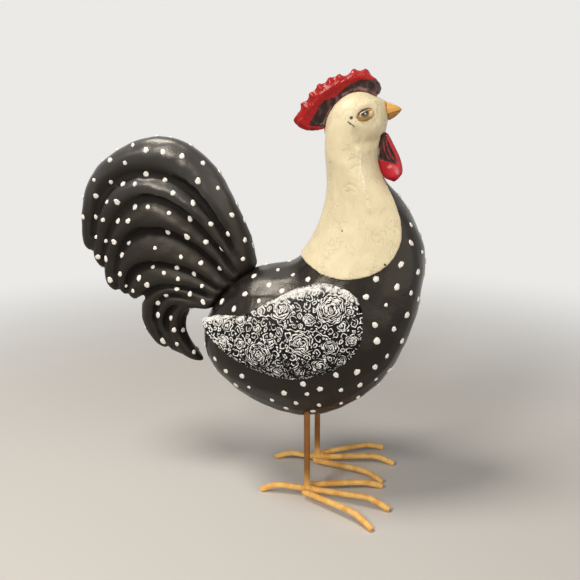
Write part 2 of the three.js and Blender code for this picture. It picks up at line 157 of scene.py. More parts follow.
class Nodes:
    """The nodes of the world or a material."""

    def __init__(self, tree):
        self.tree = tree

    def feed(self, socket, value):
        if isinstance(value, Value):
            self.tree.links.new(value.socket, socket)
        else:
            socket.default_value = value

    def node(self, kind, settings=None, sockets=None, output=0):
        """Adds a node: first its settings, then the values or links of its sockets."""
        node = self.tree.nodes.new("ShaderNode" + kind)
        for name, value in (settings or {}).items():
            setattr(node, name, value)
        for name, value in (sockets or {}).items():
            self.feed(node.inputs[name], value)
        return Value(self, node.outputs[output])

    def shows_background(self):
        """1 for rays from the camera, off gloss or through glass, which see the plain background."""
        rays = ("Is Camera Ray", "Is Glossy Ray", "Is Transmission Ray")
        camera, gloss, glass = (self.node("LightPath", output=name) for name in rays)
        return camera.larger(gloss).larger(glass)

    def output(self, name, shader):
        self.tree.links.new(shader.socket, self.tree.nodes[name].inputs["Surface"])


class Finish(Nodes):
    """A material, made of its shader and the nodes that feed it."""

    def __init__(self, name):
        self.material = bpy.data.materials.new(name)
        self.material.use_nodes = True
        super().__init__(self.material.node_tree)
        self.shader = self.tree.nodes["Principled BSDF"]

    def place(self):
        return self.node("TexCoord", output="Object")

    def along(self, axis):
        """Distance along X, Y or Z in millimetres."""
        return self.node("SeparateXYZ", sockets={0: self.place()}, output=axis) * (1 / MM)

    def noise(self, size, detail=2, stretch=(1, 1, 1)):
        """Noise from 0 to 1 with blotches of that size in millimetres."""
        place = self.place()
        if stretch != (1, 1, 1):
            place = self.node("Mapping", sockets={"Vector": place, "Scale": stretch})
        sockets = {"Vector": place, "Scale": 1 / (size * MM), "Detail": detail}
        return self.node("TexNoise", sockets=sockets)

    def painted(self, name):
        """A number kept on the mesh's points."""
        return self.node("Attribute", {"attribute_name": name}, output="Fac")

    def blend(self, mask, below, above):
        """The colour below, covered by the one above where the mask is 1."""
        settings = {"data_type": "RGBA"}
        colours = [c if isinstance(c, Value) else (*c, 1) for c in (below, above)]
        sockets = {0: mask, 6: colours[0], 7: colours[1]}
        return self.node("Mix", settings, sockets, output=2)

    def bump(self, height, depth):
        """Relief of that depth in millimetres where the height runs from 0 to 1."""
        sockets = {"Height": height, "Distance": depth * MM, "Strength": 1}
        return self.node("Bump", sockets=sockets)

    def surface(self, sockets):
        """Sets the shader's sockets, to a value that is the same all over or to a link."""
        for name, value in sockets.items():
            self.feed(self.shader.inputs[name], value)

    def on(self, piece):
        piece.data.materials.clear()
        piece.data.materials.append(self.material)


# The camera and gloss see a plain background; matt surfaces are lit by a dimmer one
scene.world = bpy.data.worlds.new("room")
scene.world.use_nodes = True
room = Nodes(scene.world.node_tree)
plain = room.node("Background", sockets={"Color": (*BACKGROUND, 1), "Strength": 1})
soft = room.node("Background", sockets={"Color": (*ROOM_LIGHT, 1), "Strength": ROOM_STRENGTH})
around = room.node("MixShader", sockets={0: room.shows_background(), 1: soft, 2: plain})
room.output("World Output", around)

bpy.ops.mesh.primitive_circle_add(vertices=96, radius=TABLE_RADIUS, fill_type="NGON")
table = bpy.context.object
table.name = "table"

tabletop = Finish("tabletop")
tabletop.surface({"Base Color": (*TABLE, 1), "Roughness": 0.75})
far = tabletop.node("VectorMath", {"operation": "LENGTH"}, {0: tabletop.place()}, output="Value")
faded = far.rise(FADE_START, FADE_END) * tabletop.shows_background()
glow = tabletop.node("Emission", sockets={"Color": (*BACKGROUND, 1), "Strength": 1})
matt = Value(tabletop, tabletop.shader.outputs["BSDF"])
tabletop.output("Material Output", tabletop.node("MixShader", sockets={0: faded, 1: matt, 2: glow}))
tabletop.on(table)


def round_lamp(name, place, width, power):
    """A lamp turned to the bird: its place and width in metres, and its power in watts."""
    lamp = bpy.data.objects.new(name, bpy.data.lights.new(name, "AREA"))
    lamp.data.shape = "DISK"
    lamp.data.size = width
    lamp.data.energy = power
    lamp.data.color = LAMPLIGHT
    lamp.location = place
    lamp.rotation_euler = (Vector(LAMPS_AIM) - Vector(place)).to_track_quat("-Z", "Y").to_euler()
    scene.collection.objects.link(lamp)


round_lamp("softbox", (-0.40, -0.85, 0.82), width=0.32, power=6.0)
round_lamp("overhead", (-0.34, -0.20, 1.12), width=0.40, power=8.4)
round_lamp("fill", (1.2, -1.0, 0.5), width=2.4, power=19)


# Torso
# One resin casting in satin black paint, smooth and slightly lumpy. Its neck stub, tail socket
# and leg bores are hidden once the other pieces are on. The dots come last.

BLACK = (0.004, 0.0028, 0.0018)
BLACK_WORN = (0.012, 0.0085, 0.0055)
BLACK_SHADE_IN_TROUGHS = (0.0015, 0.0012, 0.001)
WARM_SHEEN = (1, 0.93, 0.84)


def select(piece):
    bpy.ops.object.select_all(action="DESELECT")
    piece.select_set(True)
    bpy.context.view_layer.objects.active = piece


def smooth(piece, passes, group=""):
    """Evens out the skin, everywhere or by the weights of a vertex group."""
    select(piece)
    soften = piece.modifiers.new("soften", "SMOOTH")
    soften.factor = 0.5
    soften.iterations = passes
    soften.vertex_group = group
    bpy.ops.object.modifier_apply(modifier="soften")


def rebuild(piece, voxel):
    """Fuses the piece into one even skin of that voxel size."""
    select(piece)
    skin = piece.modifiers.new("skin", "REMESH")
    skin.mode = "VOXEL"
    skin.voxel_size = voxel
    skin.use_smooth_shade = True
    bpy.ops.object.modifier_apply(modifier="skin")


def refined(node, name, voxel, passes):
    """Fine-skinned copy of a solid, which it replaces: rebuilt at the voxel size and smoothed."""
    piece = frame["nodes"][node].copy()
    piece.data = piece.data.copy()
    piece.name = name
    scene.collection.objects.link(piece)
    select(piece)
    bpy.ops.object.mode_set(mode="EDIT")
    bpy.ops.mesh.select_all(action="SELECT")
    bpy.ops.mesh.remove_doubles(threshold=1e-6)
    bpy.ops.object.mode_set(mode="OBJECT")
    rebuild(piece, voxel)
    smooth(piece, passes)
    del piece["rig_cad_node"]
    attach(piece, "root")
    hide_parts(node)
    return piece


def points_of(piece):
    """Its points in millimetres, one row each."""
    points = np.empty(len(piece.data.vertices) * 3)
    piece.data.vertices.foreach_get("co", points)
    return points.reshape(-1, 3) / MM


def normals_of(piece):
    normals = np.empty(len(piece.data.vertices) * 3)
    piece.data.vertices.foreach_get("normal", normals)
    return normals.reshape(-1, 3)


def raise_points(piece, heights):
    """Moves each point out along its normal, in millimetres."""
    moved = points_of(piece) + normals_of(piece) * np.asarray(heights)[:, None]
    piece.data.vertices.foreach_set("co", (moved * MM).ravel())
    piece.data.update()


def paint_points(piece, name, values):
    """Keeps a number on each point for the material."""
    layer = piece.data.attributes.new(name, "FLOAT", "POINT")
    layer.data.foreach_set("value", np.asarray(values, np.float32))


def fade(values, low, high):
    """0 at low, 1 at high and smooth between, also with low above high."""
    share = np.clip((values - low) / (high - low), 0, 1)
    return share * share * (3 - 2 * share)


def from_line(points, line):
    """Distance in the side view from each point to a line through the x, z places given."""
    flat = points[:, [0, 2]]
    nearest = np.full(len(flat), np.inf)
    for start, end in zip(np.array(line[:-1], float), np.array(line[1:], float)):
        way = end - start
        share = np.clip((flat - start) @ way / (way @ way), 0, 1)
        gap = np.linalg.norm(flat - start - share[:, None] * way, axis=1)
        nearest = np.minimum(nearest, gap)
    return nearest


def lumps(points, waves):
    """Soft unevenness: the length and height of each set of crossing waves, in millimetres."""
    height = np.zeros(len(points))
    pick = random.Random(4)
    crossing = 5
    for length, amount in waves:
        for _ in range(crossing):
            way = Vector([pick.gauss(0, 1) for _ in range(3)]).normalized()
            phase = pick.uniform(0, 2 * math.pi)
            wave = np.sin(points @ np.array(way) * 2 * math.pi / length + phase)
            height += amount / crossing * wave
    return height


def standing(piece, passes):
    """How far each point stands out from a smoother copy of the piece, in millimetres."""
    copy = piece.copy()
    copy.data = piece.data.copy()
    scene.collection.objects.link(copy)
    smooth(copy, passes)
    out = ((points_of(piece) - points_of(copy)) * normals_of(piece)).sum(1)
    bpy.data.objects.remove(copy)
    return out


torso = refined("body", "torso", voxel=1.2 * MM, passes=24)
raise_points(torso, lumps(points_of(torso), [(34, 0.7), (17, 0.35)]))

# The back is rubbed glossier, as far forwards as the cape
skin = points_of(torso)
on_back = fade(normals_of(torso)[:, 2], 0.6, 0.95) * fade(skin[:, 0], 75, 50)
paint_points(torso, "polished", 0.55 * on_back)

black_paint = Finish("black_paint")
streaks = black_paint.noise(9, 4)
grain = black_paint.noise(1.2, 3) + 1.6 * black_paint.noise(5, 2)
hollow, polished, dull = (black_paint.painted(name) for name in ("hollow", "polished", "dull"))
# Painted shade: the tail's troughs take a darker black
black = black_paint.blend(streaks, BLACK, BLACK_WORN)
black_paint.surface({
    "Base Color": black_paint.blend(hollow, black, BLACK_SHADE_IN_TROUGHS),
    "Roughness": 0.21 + 0.11 * streaks + 0.5 * hollow + 0.22 * dull,
    "Specular IOR Level": 0.33,
    "Specular Tint": (*WARM_SHEEN, 1),
    "Coat Weight": polished,
    "Coat Roughness": 0.4,
    "Normal": black_paint.bump(grain, 0.14),
})
black_paint.on(torso)


# Neck and head
# A second casting in cream paint, slipped over the torso's stub. Its lower edge is a crisp cape
# that lies on the torso. The eyes are beads in its sockets, and their paint runs onto it.

# Lines on its side as x, z places
CAPE_EDGE = [
    (40.1, 194), (45.1, 190.6), (48.1, 188.6), (54.8, 185.3), (61.4, 182), (69.1, 179.4),
    (83.1, 178), (99.1, 181.6), (110.6, 189), (117.6, 200), (119.1, 212), (115.1, 227),
    (108.1, 240), (103.6, 246.5),
]
JAW = [(83.5, 275.5), (87, 271.5), (91.5, 269.5), (97, 271)]
THROAT = [(88.5, 266), (89.2, 256), (92, 246), (93.3, 238), (97, 226)]
BROW = [(102, 298.5), (97.5, 298), (92, 296), (86.5, 292)]
CHEEK = [(86, 282.5), (91, 279.5), (97, 279.5), (102, 283)]
CREASES = [
    [(81, 258), (84, 260.5), (88.5, 260), (91.5, 256.5)],
    [(83.5, 253), (86.5, 255.5), (90, 254), (92, 249.5)],
    [(88, 264), (88.3, 258), (88, 250), (88.6, 243)],
    [(78, 240), (81.5, 242.5), (85.5, 241.5), (88, 238)],
    [(80, 236.5), (83, 238.5), (86.5, 237)],
    [(90.5, 246), (91.8, 241.5), (91, 236)],
    [(98.5, 284), (100, 288), (99.5, 292)],
    [(96.5, 282), (98.3, 286), (98, 289)],
]
NAPE = (60.2, 0, 279.5)
EDGE_KEPT_CRISP = 3.2
CREAM_DARK = (0.63, 0.54, 0.34)
CREAM_LIGHT = (0.76, 0.67, 0.46)
GRIME = (0.40, 0.34, 0.24)
PIT = (0.42, 0.33, 0.20)
THROAT_HIGHLIGHT = (0.95, 0.91, 0.82)
UNDER_BEAK_SHADE = (0.36, 0.34, 0.31)
CHIP = (0.07, 0.05, 0.035)
BEAK_GOLD = (0.68, 0.37, 0.09)

neck = refined("neck_and_head", "neck_and_head_casting", voxel=0.75 * MM, passes=3)
away = neck.vertex_groups.new(name="away_from_edge")
for index in np.flatnonzero(from_line(points_of(neck), CAPE_EDGE) > EDGE_KEPT_CRISP):
    away.add([int(index)], 1, "REPLACE")
smooth(neck, 22, "away_from_edge")

# The hollow under the jaw, then what stands up, then the fine creases
skin = points_of(neck)
aside = np.abs(skin[:, 1])
jaw = fade(from_line(skin, JAW), 5.5, 0) * fade(skin[:, 0], 79, 90) * fade(aside, 4, 9)
throat = fade(from_line(skin, THROAT), 4, 0)
brow = fade(from_line(skin, BROW), 3.2, 0) * fade(aside, 3, 7)
cheek = fade(from_line(skin, CHEEK), 4.5, 0) * fade(aside, 5, 10)
nape = fade(np.linalg.norm(skin - NAPE, axis=1), 4.5, 0)
creases = sum(fade(from_line(skin, line), 0.9, 0.1) for line in CREASES) * fade(aside, 4, 9)
raise_points(neck, lumps(skin, [(26, 0.3), (12, 0.16)]) - 2.3 * jaw + 0.5 * throat
             + 0.5 * brow + 0.7 * cheek - 0.25 * creases + 1.3 * nape)
# A painted highlight along the throat's ridge
paint_points(neck, "glint", fade(from_line(skin, THROAT), 1.1, 0.3))

# The beak's gold starts on this casting, at a border that leans back
past_border = skin[:, 0] - 103.3 + 0.283 * (skin[:, 2] - 296.5)
beak_height = fade(skin[:, 2], 284.6, 286) * fade(skin[:, 2], 300, 298)
paint_points(neck, "beak_root", fade(past_border, -0.35, 0.35) * beak_height)


def eye_paint(finish, ground):
    """The eye, painted over that ground colour: u runs forwards along it and v upwards."""
    place = finish.node("VectorMath", {"operation": "ABSOLUTE"}, {0: finish.place()})
    forward = (0.8506, -0.3093, 0.4253)
    upward = (-0.473, -0.0976, 0.8755)
    middle = (91.67, 15.2, 288.7)
    dot = {"operation": "DOT_PRODUCT"}
    along = [finish.node("VectorMath", dot, {0: place, 1: way}, "Value") for way in (forward, upward)]
    u = along[0] * (1 / MM) - sum(a * b for a, b in zip(forward, middle))
    v = along[1] * (1 / MM) - sum(a * b for a, b in zip(upward, middle))
    on_side = finish.along(1).absolute().rise(8, 9)
    wobble = (finish.noise(1.6) - 0.5) * 0.5

    def inside(centre, size, soft):
        across = (u - centre[0]) * (1 / size[0])
        height = (v - centre[1]) * (1 / size[1])
        reach = (across ** 2 + height ** 2) ** 0.5
        return (reach + wobble * (1 / size[1])).rise(1 + soft / size[1], 1 - soft / size[1]) * on_side

    # The dark outline, the golden brown eye, its pale front with a brown corner, the iris, the
    # pupil and two glints
    colour = ground
    for centre, size, soft, paint in (
        ((0.0, 0.4), (6.1, 3.65), 0.35, (0.17, 0.10, 0.042)),
        ((0.35, -0.35), (5.8, 3.3), 0.4, (0.40, 0.23, 0.07)),
        ((3.3, -0.4), (2.6, 2.5), 0.4, (0.72, 0.53, 0.27)),
        ((3.4, 1.2), (1.3, 0.8), 0.35, (0.30, 0.13, 0.03)),
        ((-0.5, 0.9), (3.2, 2.9), 0.3, (0.17, 0.115, 0.04)),
        ((-0.5, 1.0), (2.2, 2.15), 0.35, (0.020, 0.013, 0.009)),
        ((-0.2, 2.1), (1.3, 0.5), 0.4, (0.36, 0.31, 0.25)),
        ((-0.5, 0.3), (0.5, 0.5), 0.3, (0.66, 0.62, 0.55)),
    ):
        colour = finish.blend(inside(centre, size, soft), colour, paint)
    return colour, inside((0, -0.2), (6.5, 4), 0.4)


def spots(finish, places):
    """1 at small spots: x, y, z and radius of each in millimetres."""
    ragged = (finish.noise(0.7, 3) - 0.5) * 0.8
    mask = 0
    for x, y, z, radius in places:
        centre = (x * MM, y * MM, z * MM)
        gap = finish.node("VectorMath", {"operation": "DISTANCE"}, {0: finish.place(), 1: centre}, "Value")
        spot = (gap * (1 / MM) + ragged).rise(radius + 0.22, radius - 0.22)
        mask = spot.larger(mask)
    return mask


cream_paint = Finish("cream_paint")
patches = cream_paint.noise(13, 3)
brush = cream_paint.noise(2.4, 5, (1, 1, 0.3))
grime = cream_paint.noise(5, 5).rise(0.52, 0.78)
cream = cream_paint.blend(patches, CREAM_DARK, CREAM_LIGHT)
cream = cream_paint.blend(0.14 * grime, cream, GRIME)
pits = cream_paint.noise(0.9, 2).rise(0.64, 0.76) * cream_paint.noise(9, 3).rise(0.42, 0.6)
crinkles = (cream_paint.noise(5, 3) - 0.5).absolute().rise(0.035, 0)
crinkles = crinkles * cream_paint.noise(15, 2).rise(0.46, 0.62)
cream = cream_paint.blend(0.4 * pits + 0.12 * crinkles, cream, PIT)
# The painted highlight along the throat
glint = cream_paint.painted("glint") * cream_paint.noise(1.5, 3).rise(0.42, 0.6)
cream = cream_paint.blend(0.55 * glint, cream, THROAT_HIGHLIGHT)
cream = cream_paint.blend(cream_paint.painted("beak_root"), cream, BEAK_GOLD)
# Painted shade under the beak
shade_under_beak = spots(cream_paint, [
    (104.3, -6.4, 285.0, 1.2), (104.6, -4.6, 282.0, 1.3), (104.4, -2, 279.0, 1.2),
])
cream = cream_paint.blend(0.45 * shade_under_beak, cream, UNDER_BEAK_SHADE)
chips = spots(cream_paint, [
    (82.2, -16.8, 286.8, 1.1), (80.3, -17.0, 284.0, 0.55), (81.3, -17.1, 283.2, 0.6),
    (82.1, -17.2, 282.5, 0.6), (83.4, -17.3, 281.9, 0.55), (84.1, -17.4, 281.1, 0.6),
    (83.9, -17.4, 279.0, 0.35), (85.8, -17.1, 286.1, 0.35), (85.2, -17.3, 284.4, 0.35),
    (77.9, -24.6, 210.7, 0.62), (108.7, -32.8, 189.2, 0.9), (96.2, -20, 233, 0.3),
])
cream = cream_paint.blend(chips, cream, CHIP)
coloured, glossy = eye_paint(cream_paint, cream)
worn = brush - 0.5 * chips - 0.7 * pits - 0.5 * crinkles + 0.6 * glint
cream_paint.surface({
    "Base Color": coloured,
    "Roughness": 0.36 + 0.14 * brush - 0.18 * glossy,
    "Specular IOR Level": 0.38,
    "Normal": cream_paint.bump(worn, 0.4),
})
cream_paint.on(neck)

for side in ("left", "right"):
    bead = refined(side + "_eye", side + "_eye_bead", voxel=0.22 * MM, passes=30)
    eye_gloss = Finish(side + "_eye_gloss")
    coloured, glossy = eye_paint(eye_gloss, eye_gloss.blend(0, CREAM_LIGHT, CREAM_LIGHT))
    eye_gloss.surface({
        "Base Color": coloured,
        "Roughness": 0.3 - 0.14 * glossy,
        "Specular IOR Level": 0.35,
        "Coat Weight": 0.12 * glossy,
        "Normal": eye_gloss.bump(eye_gloss.noise(1.4), 0.06),
    })
    eye_gloss.on(bead)


# Tail
# A third casting: eight curled feathers in one fan, in the torso's black. Paint fills the seam
# where it's glued to the torso.


def meet(piece, other, reach):
    """Draws the points within that reach, in millimetres, of another casting onto its skin."""
    points = points_of(piece)
    tree = BVHTree.FromObject(other, bpy.context.evaluated_depsgraph_get())
    for index, point in enumerate(points):
        nearest, _, _, gap = tree.find_nearest(Vector(point) * MM, reach * MM)
        if nearest:
            share = min(1, 2 - 2 * gap / (reach * MM))
            points[index] += (np.array(nearest) / MM - point) * share
    piece.data.vertices.foreach_set("co", (points * MM).ravel())
    piece.data.update()


def ease(piece, passes, grip):
    """Evens out the skin but keeps its creases: points mix with neighbours that face alike."""
    ends = np.empty(len(piece.data.edges) * 2, int)
    piece.data.edges.foreach_get("vertices", ends)
    starts, ends = ends.reshape(-1, 2).T
    points = points_of(piece)
    facing = normals_of(piece)
    alike = np.clip((facing[starts] * facing[ends]).sum(1), 0.01, 1) ** grip
    count = len(points)
    total = np.bincount(starts, alike, count) + np.bincount(ends, alike, count)
    for _ in range(passes):
        for axis in range(3):
            along = points[:, axis]
            drawn = np.bincount(starts, alike * along[ends], count)
            drawn += np.bincount(ends, alike * along[starts], count)
            points[:, axis] = 0.5 * along + 0.5 * drawn / total
    piece.data.vertices.foreach_set("co", (points * MM).ravel())
    piece.data.update()


tail = refined("tail", "tail_fan", voxel=0.87 * MM, passes=3)
ease(tail, passes=50, grip=14)

# Troughs are matt and painted a darker black as painted shade, the crowns shine towards the top of the fan,
# and the low feathers are dull
crowns = standing(tail, 120)
height = points_of(tail)[:, 2]
paint_points(tail, "hollow", fade(-crowns, -0.1, 0.6))
paint_points(tail, "polished", fade(crowns, -0.1, 0.5) * fade(height, 208, 245))
paint_points(tail, "dull", fade(height, 236, 196))

# Crowns are raised and troughs deepened
stronger = 0.7 * np.clip(crowns, -1.3, 0.4)
raise_points(tail, lumps(points_of(tail), [(30, 0.35), (11, 0.3)]) + stronger)
smooth(tail, 5)
meet(tail, torso, reach=1.4)
black_paint.on(tail)


# Wings
# Two thin castings, pegged to the torso, with a dense raised pattern like cast lace: rosettes,
# small curls and one long stem. They are black, with silver brushed over whatever stands up.

# Each rosette's x, z place and radius, then lines as x, z places
ROSETTES = [
    (22, 123.5, 10.5), (38.5, 157, 8.5), (73.5, 158.7, 10), (53, 135.5, 9), (-3.5, 142, 4.6),
    (31.5, 134, 4), (86.4, 158, 3.8), (81.6, 148.5, 5.4), (-12.5, 144, 4.6), (7, 147, 4.5),
    (58.5, 151.5, 4.4), (82.5, 168.5, 4.6), (88.5, 138, 5), (74, 133.5, 6.2), (82, 122.5, 4.8),
    (67, 119.5, 5.6), (51.5, 114, 5), (8, 131.5, 5.2), (-6, 130.5, 4.8), (51, 166.5, 4.2),
    (37.5, 141.5, 3.6), (20.5, 142.5, 4), (36, 112.5, 4.4),
]
UPPER_EDGE = [
    (-27, 141.5), (-19, 145), (6, 151), (27, 160.3), (44, 168.8), (62.7, 175), (79.7, 175),
    (90, 169),
]
STEM = [
    (19, 150), (26, 152), (33, 151), (38, 147), (43, 144), (54, 143.4), (64, 144.4), (71, 141),
    (77, 138.5),
]

# Radius, sweep in radians, curl inwards and number of tries of each kind of small line
CURLS = [
    (2.9, 4.4, 1.5, 1500), (1.8, 8, 1.5, 5000), (1.3, 6, 0.9, 7000), (0.8, 3.5, 0.3, 9000),
    (1.8, 0.9, 0, 4000),
]
LACE_CORNER = (-40, 95)
LACE_SIZE = (150, 95)
CELLS_PER_MM = 4
LACE_HEIGHT = 0.75
GROUND_DEPTH = 1.1
DOME_HEIGHT = 0.6
WING_BLACK = (0.005, 0.0045, 0.004)
SILVER = (0.82, 0.81, 0.79)
SILVER_BRIGHT = (0.97, 0.96, 0.94)


def curve(middle, radius, start, sweep, inward, width, wiggle, way=1):
    """A bowed line: x, z and half width of points 0.15 mm apart, curling inward at its end."""
    along = np.arange(0, sweep, 0.15 / radius)
    share = along / sweep
    reach = radius - inward * share ** 2 + wiggle * np.sin(along * radius / 0.45 + start * 5)
    angle = way * (start + along)
    half = width * (0.5 + 0.6 * np.sin(math.pi * share) ** 0.7)
    return np.stack([middle[0] + reach * np.cos(angle), middle[1] + reach * np.sin(angle), half], 1)


def lace_lines():
    """The pattern's raised lines as points: x, z and half width, all in millimetres."""
    pick = random.Random(23)
    lines = []
    taken = np.zeros([length * CELLS_PER_MM for length in LACE_SIZE], bool)

    def cells(line):
        return tuple(((line[:, :2] - LACE_CORNER) * CELLS_PER_MM).astype(int).T)

    def draw(line, room):
        """Adds the line and keeps others that many cells off."""
        lines.append(line)
        for column, row in set(zip(*cells(line))):
            taken[column - room:column + room + 1, row - room:row + room + 1] = True

    # The long stem, rounded by cutting its corners
    stem = np.array(STEM, float)
    for _ in range(3):
        pairs = zip(stem[:-1], stem[1:])
        stem = np.array([place for a, b in pairs for place in (0.75 * a + 0.25 * b, 0.25 * a + 0.75 * b)])
    steps = np.linspace(0, 1, 8)[:, None]
    for a, b in zip(stem[:-1], stem[1:]):
        half = np.full((len(steps), 1), pick.uniform(0.1, 0.4))
        draw(np.hstack([a + (b - a) * steps, half]), 3)

    # Rosettes: broken rings around a small eye
    for x, z, size in ROSETTES:
        turn = pick.uniform(0, 6.3)
        rings = [curve((x, z), 0.4, turn, 6.3, 0, 0.16, 0)]
        radius = 1.4
        while radius < size - 0.2:
            start = turn
            while start < turn + 5.9:
                sweep = min(pick.uniform(2.4, 7) / radius, turn + 6.2 - start)
                bend = pick.choice((-0.7, 0, 0, 0.7, 1))
                width = pick.uniform(0.14, 0.3)
                wiggle = pick.uniform(0, 0.25)
                rings.append(curve((x, z), radius, start, sweep, bend, width, wiggle))
                start += sweep + pick.uniform(0.4, 0.9) / radius
            turn += pick.uniform(0.3, 0.9)
            radius += pick.uniform(1.25, 1.55)
        rings = [ring for ring in rings if not taken[cells(ring)].any()]
        for ring in rings:
            draw(ring, 2)

    # Scrolls, curls and commas wherever there's room, the larger first
    for radius, sweep, inward, tries in CURLS:
        for _ in range(tries):
            middle = pick.uniform(-33, 101), pick.uniform(102, 182)
            size = radius * pick.uniform(0.8, 1.2)
            start = pick.uniform(0, 6.3)
            turned = sweep * pick.uniform(0.8, 1.2)
            width = pick.uniform(0.14, 0.28)
            way = pick.choice((-1, 1))
            line = curve(middle, size, start, turned, inward * size / radius, width, 0.12, way)
            if not taken[cells(line)].any():
                draw(line, 3)
    return np.vstack(lines)


def lace(points, lines):
    """Height of the relief, 0 to 1, at each point."""
    tree = KDTree(len(lines))
    for index, (x, z, _) in enumerate(lines):
        tree.insert((x, z, 0), index)
    tree.balance()

    # The lines sway a little, as if drawn by hand
    x, z = points[:, 0], points[:, 2]
    swayed_x = x + 0.45 * np.sin(z * 0.95 + 1.3 * np.sin(x * 0.6)) + 0.12 * np.sin(z * 2.3 + x * 0.9)
    swayed_z = z + 0.45 * np.sin(x * 1.05 + 1.1 * np.sin(z * 0.7)) + 0.12 * np.sin(x * 2.5 - z * 0.8)
    found = np.array([tree.find((x, z, 0))[1:] for x, z in zip(swayed_x, swayed_z)])
    half = lines[found[:, 0].astype(int), 2]
    return fade(found[:, 1] - half, 0.32, -0.02)


silver_relief = Finish("silver_relief")
raised = silver_relief.painted("lace")
silver_and_top_light = silver_relief.painted("silver_and_top_light")
rubbed = silver_relief.noise(6, 5)
specks = silver_relief.noise(0.7, 2)
brushed = silver_relief.noise(2.6, 4, (0.6, 1, 1))
# Silver on the lace, at the upper edge and tip, and painted light on what faces up
silver = raised * (0.4 + 1.15 * rubbed) + 0.8 * silver_and_top_light * (0.3 + 1.2 * brushed) + 0.2 * specks
silver = silver.rise(0.58, 0.86)
brightness = silver_relief.blend(rubbed, SILVER, SILVER_BRIGHT)
silver_relief.surface({
    "Base Color": silver_relief.blend(silver, WING_BLACK, brightness),
    "Roughness": 0.42 + 0.12 * silver,
    "Specular IOR Level": 0.15,
    "Normal": silver_relief.bump(raised + 0.3 * specks, 0.45),
})

lines = lace_lines()
for side in ("left", "right"):
    wing = refined(side + "_wing", side + "_wing_casting", voxel=0.31 * MM, passes=6)

    # The back of the wing, against the torso, needs fewer points
    skin = points_of(wing)
    hidden = np.flatnonzero(normals_of(wing)[:, 1] * skin[:, 1] < -2)
    under = wing.vertex_groups.new(name="under")
    under.add([int(index) for index in hidden], 1, "REPLACE")
    thin = wing.modifiers.new("thin", "DECIMATE")
    thin.ratio = 0.54
    thin.vertex_group = "under"
    select(wing)
    bpy.ops.object.modifier_apply(modifier="thin")

    # More silver along the upper edge and at the tip, and, as painted light from above, more on what faces
    # up and less on the low, down-facing side
    skin = points_of(wing)
    outward = normals_of(wing)
    reach = 3.5 + 8 * fade(skin[:, 0], 28, 58)
    smear = 0.88 * fade(from_line(skin, UPPER_EDGE) / reach, 1, 0.25)
    tip = 0.5 * fade(skin[:, 0], 2, -22)
    top = fade(outward[:, 2], 0.2, 0.9)
    low = 0.4 * fade(outward[:, 2], 0.15, -0.25) * fade(skin[:, 0], -15, 10)
    paint_points(wing, "silver_and_top_light", np.maximum.reduce([smear, tip, top]) - low)

    # The ground is sunk on the outer side and the lace and the rosettes' domes stand on it
    height = lace(skin, lines)
    paint_points(wing, "lace", height)
    flat = skin[:, [0, 2]]
    domes = sum(fade(np.linalg.norm(flat - (x, z), axis=1), size, 0) for x, z, size in ROSETTES)
    facing = fade(np.abs(outward[:, 1]) * np.sign(outward[:, 1] * skin[:, 1]), 0.1, 0.5)
    shown = np.maximum(facing, fade(outward[:, 2], 0.2, 0.6))
    raise_points(wing, (LACE_HEIGHT * height - GROUND_DEPTH + DOME_HEIGHT * domes) * shown)
    silver_relief.on(wing)


# Comb and wattles
# Castings in crimson, pegged into the head: a rose comb with a thick knobbly rim over a web
# washed dark brown, and two flat drops with a hollow upper half.

RED = (0.24, 0.003, 0.004)
RED_LIGHT = (0.44, 0.010, 0.008)
CRIMSON = (0.62, 0.025, 0.05)
PINK_HIGHLIGHT = (0.80, 0.40, 0.37)
WASH = (0.018, 0.006, 0.005)
WASH_THIN = (0.20, 0.06, 0.05)
WEB_SHEEN = (0.26, 0.165, 0.145)
SEAM = (0.60, 0.32, 0.29)
COMB_FILL = 3.0

# Lines on the side as x, z places
WASH_EDGE = [
    (50.2, 279.5), (50.8, 283.5), (52.1, 285.6), (53.7, 288.3), (56, 291.9), (58.6, 296),
    (61.5, 299.2), (65.7, 300.5), (70.3, 301.6), (71.9, 304.1), (74.7, 306), (79.5, 309.5),
    (84.4, 311.9), (90.5, 312.7), (95.9, 312), (99.1, 311), (104, 309),
]
HEAD_LINE = [(61.7, 284), (66.7, 294), (74.7, 302.5), (84.7, 307), (93.7, 304.5), (100.7, 300)]
WATTLE_EDGE = [(105.7, 273), (108.6, 267.8), (111.3, 262.6), (113.5, 257.5)]
WATTLE_RIDGES = ([(105.3, 272), (106.9, 265.4), (109.1, 261.3), (112, 257.2)],
                 [(103.3, 270.1), (104.2, 265.4), (106.4, 260.6), (107.2, 258.5)])
PILLOW = (111.7, 250.6)
SHINE = [(107.8, 253.8), (110.2, 254.6), (112.6, 252.6), (113.8, 249.6)]

comb = refined("comb", "rose_comb", voxel=0.38 * MM, passes=14)
skin = points_of(comb)
raise_points(comb, lumps(skin, [(7, 0.4), (3.2, 0.2)]))

# The dips between the points are filled: grown, fused and shrunk back
raise_points(comb, np.full(len(skin), COMB_FILL))
rebuild(comb, 0.4 * MM)
raise_points(comb, np.full(len(comb.data.vertices), -COMB_FILL))
smooth(comb, 5)

# Where the web's wash, the painted pink highlight on whatever is proud and the seam on the head lie
skin = points_of(comb)
edge = np.interp(skin[:, 0], [x for x, z in WASH_EDGE], [z for x, z in WASH_EDGE])
web = fade(skin[:, 2] - edge, 1.8, -1.8) * fade(skin[:, 0], 50, 51.5) * fade(skin[:, 2], 280.8, 282.4)
paint_points(comb, "web", web)
paint_points(comb, "proud", fade(standing(comb, 60), 0.15, 0.9))
paint_points(comb, "seam", fade(from_line(skin, HEAD_LINE), 1.7, 0.5) * fade(np.abs(skin[:, 1]), 5, 3))

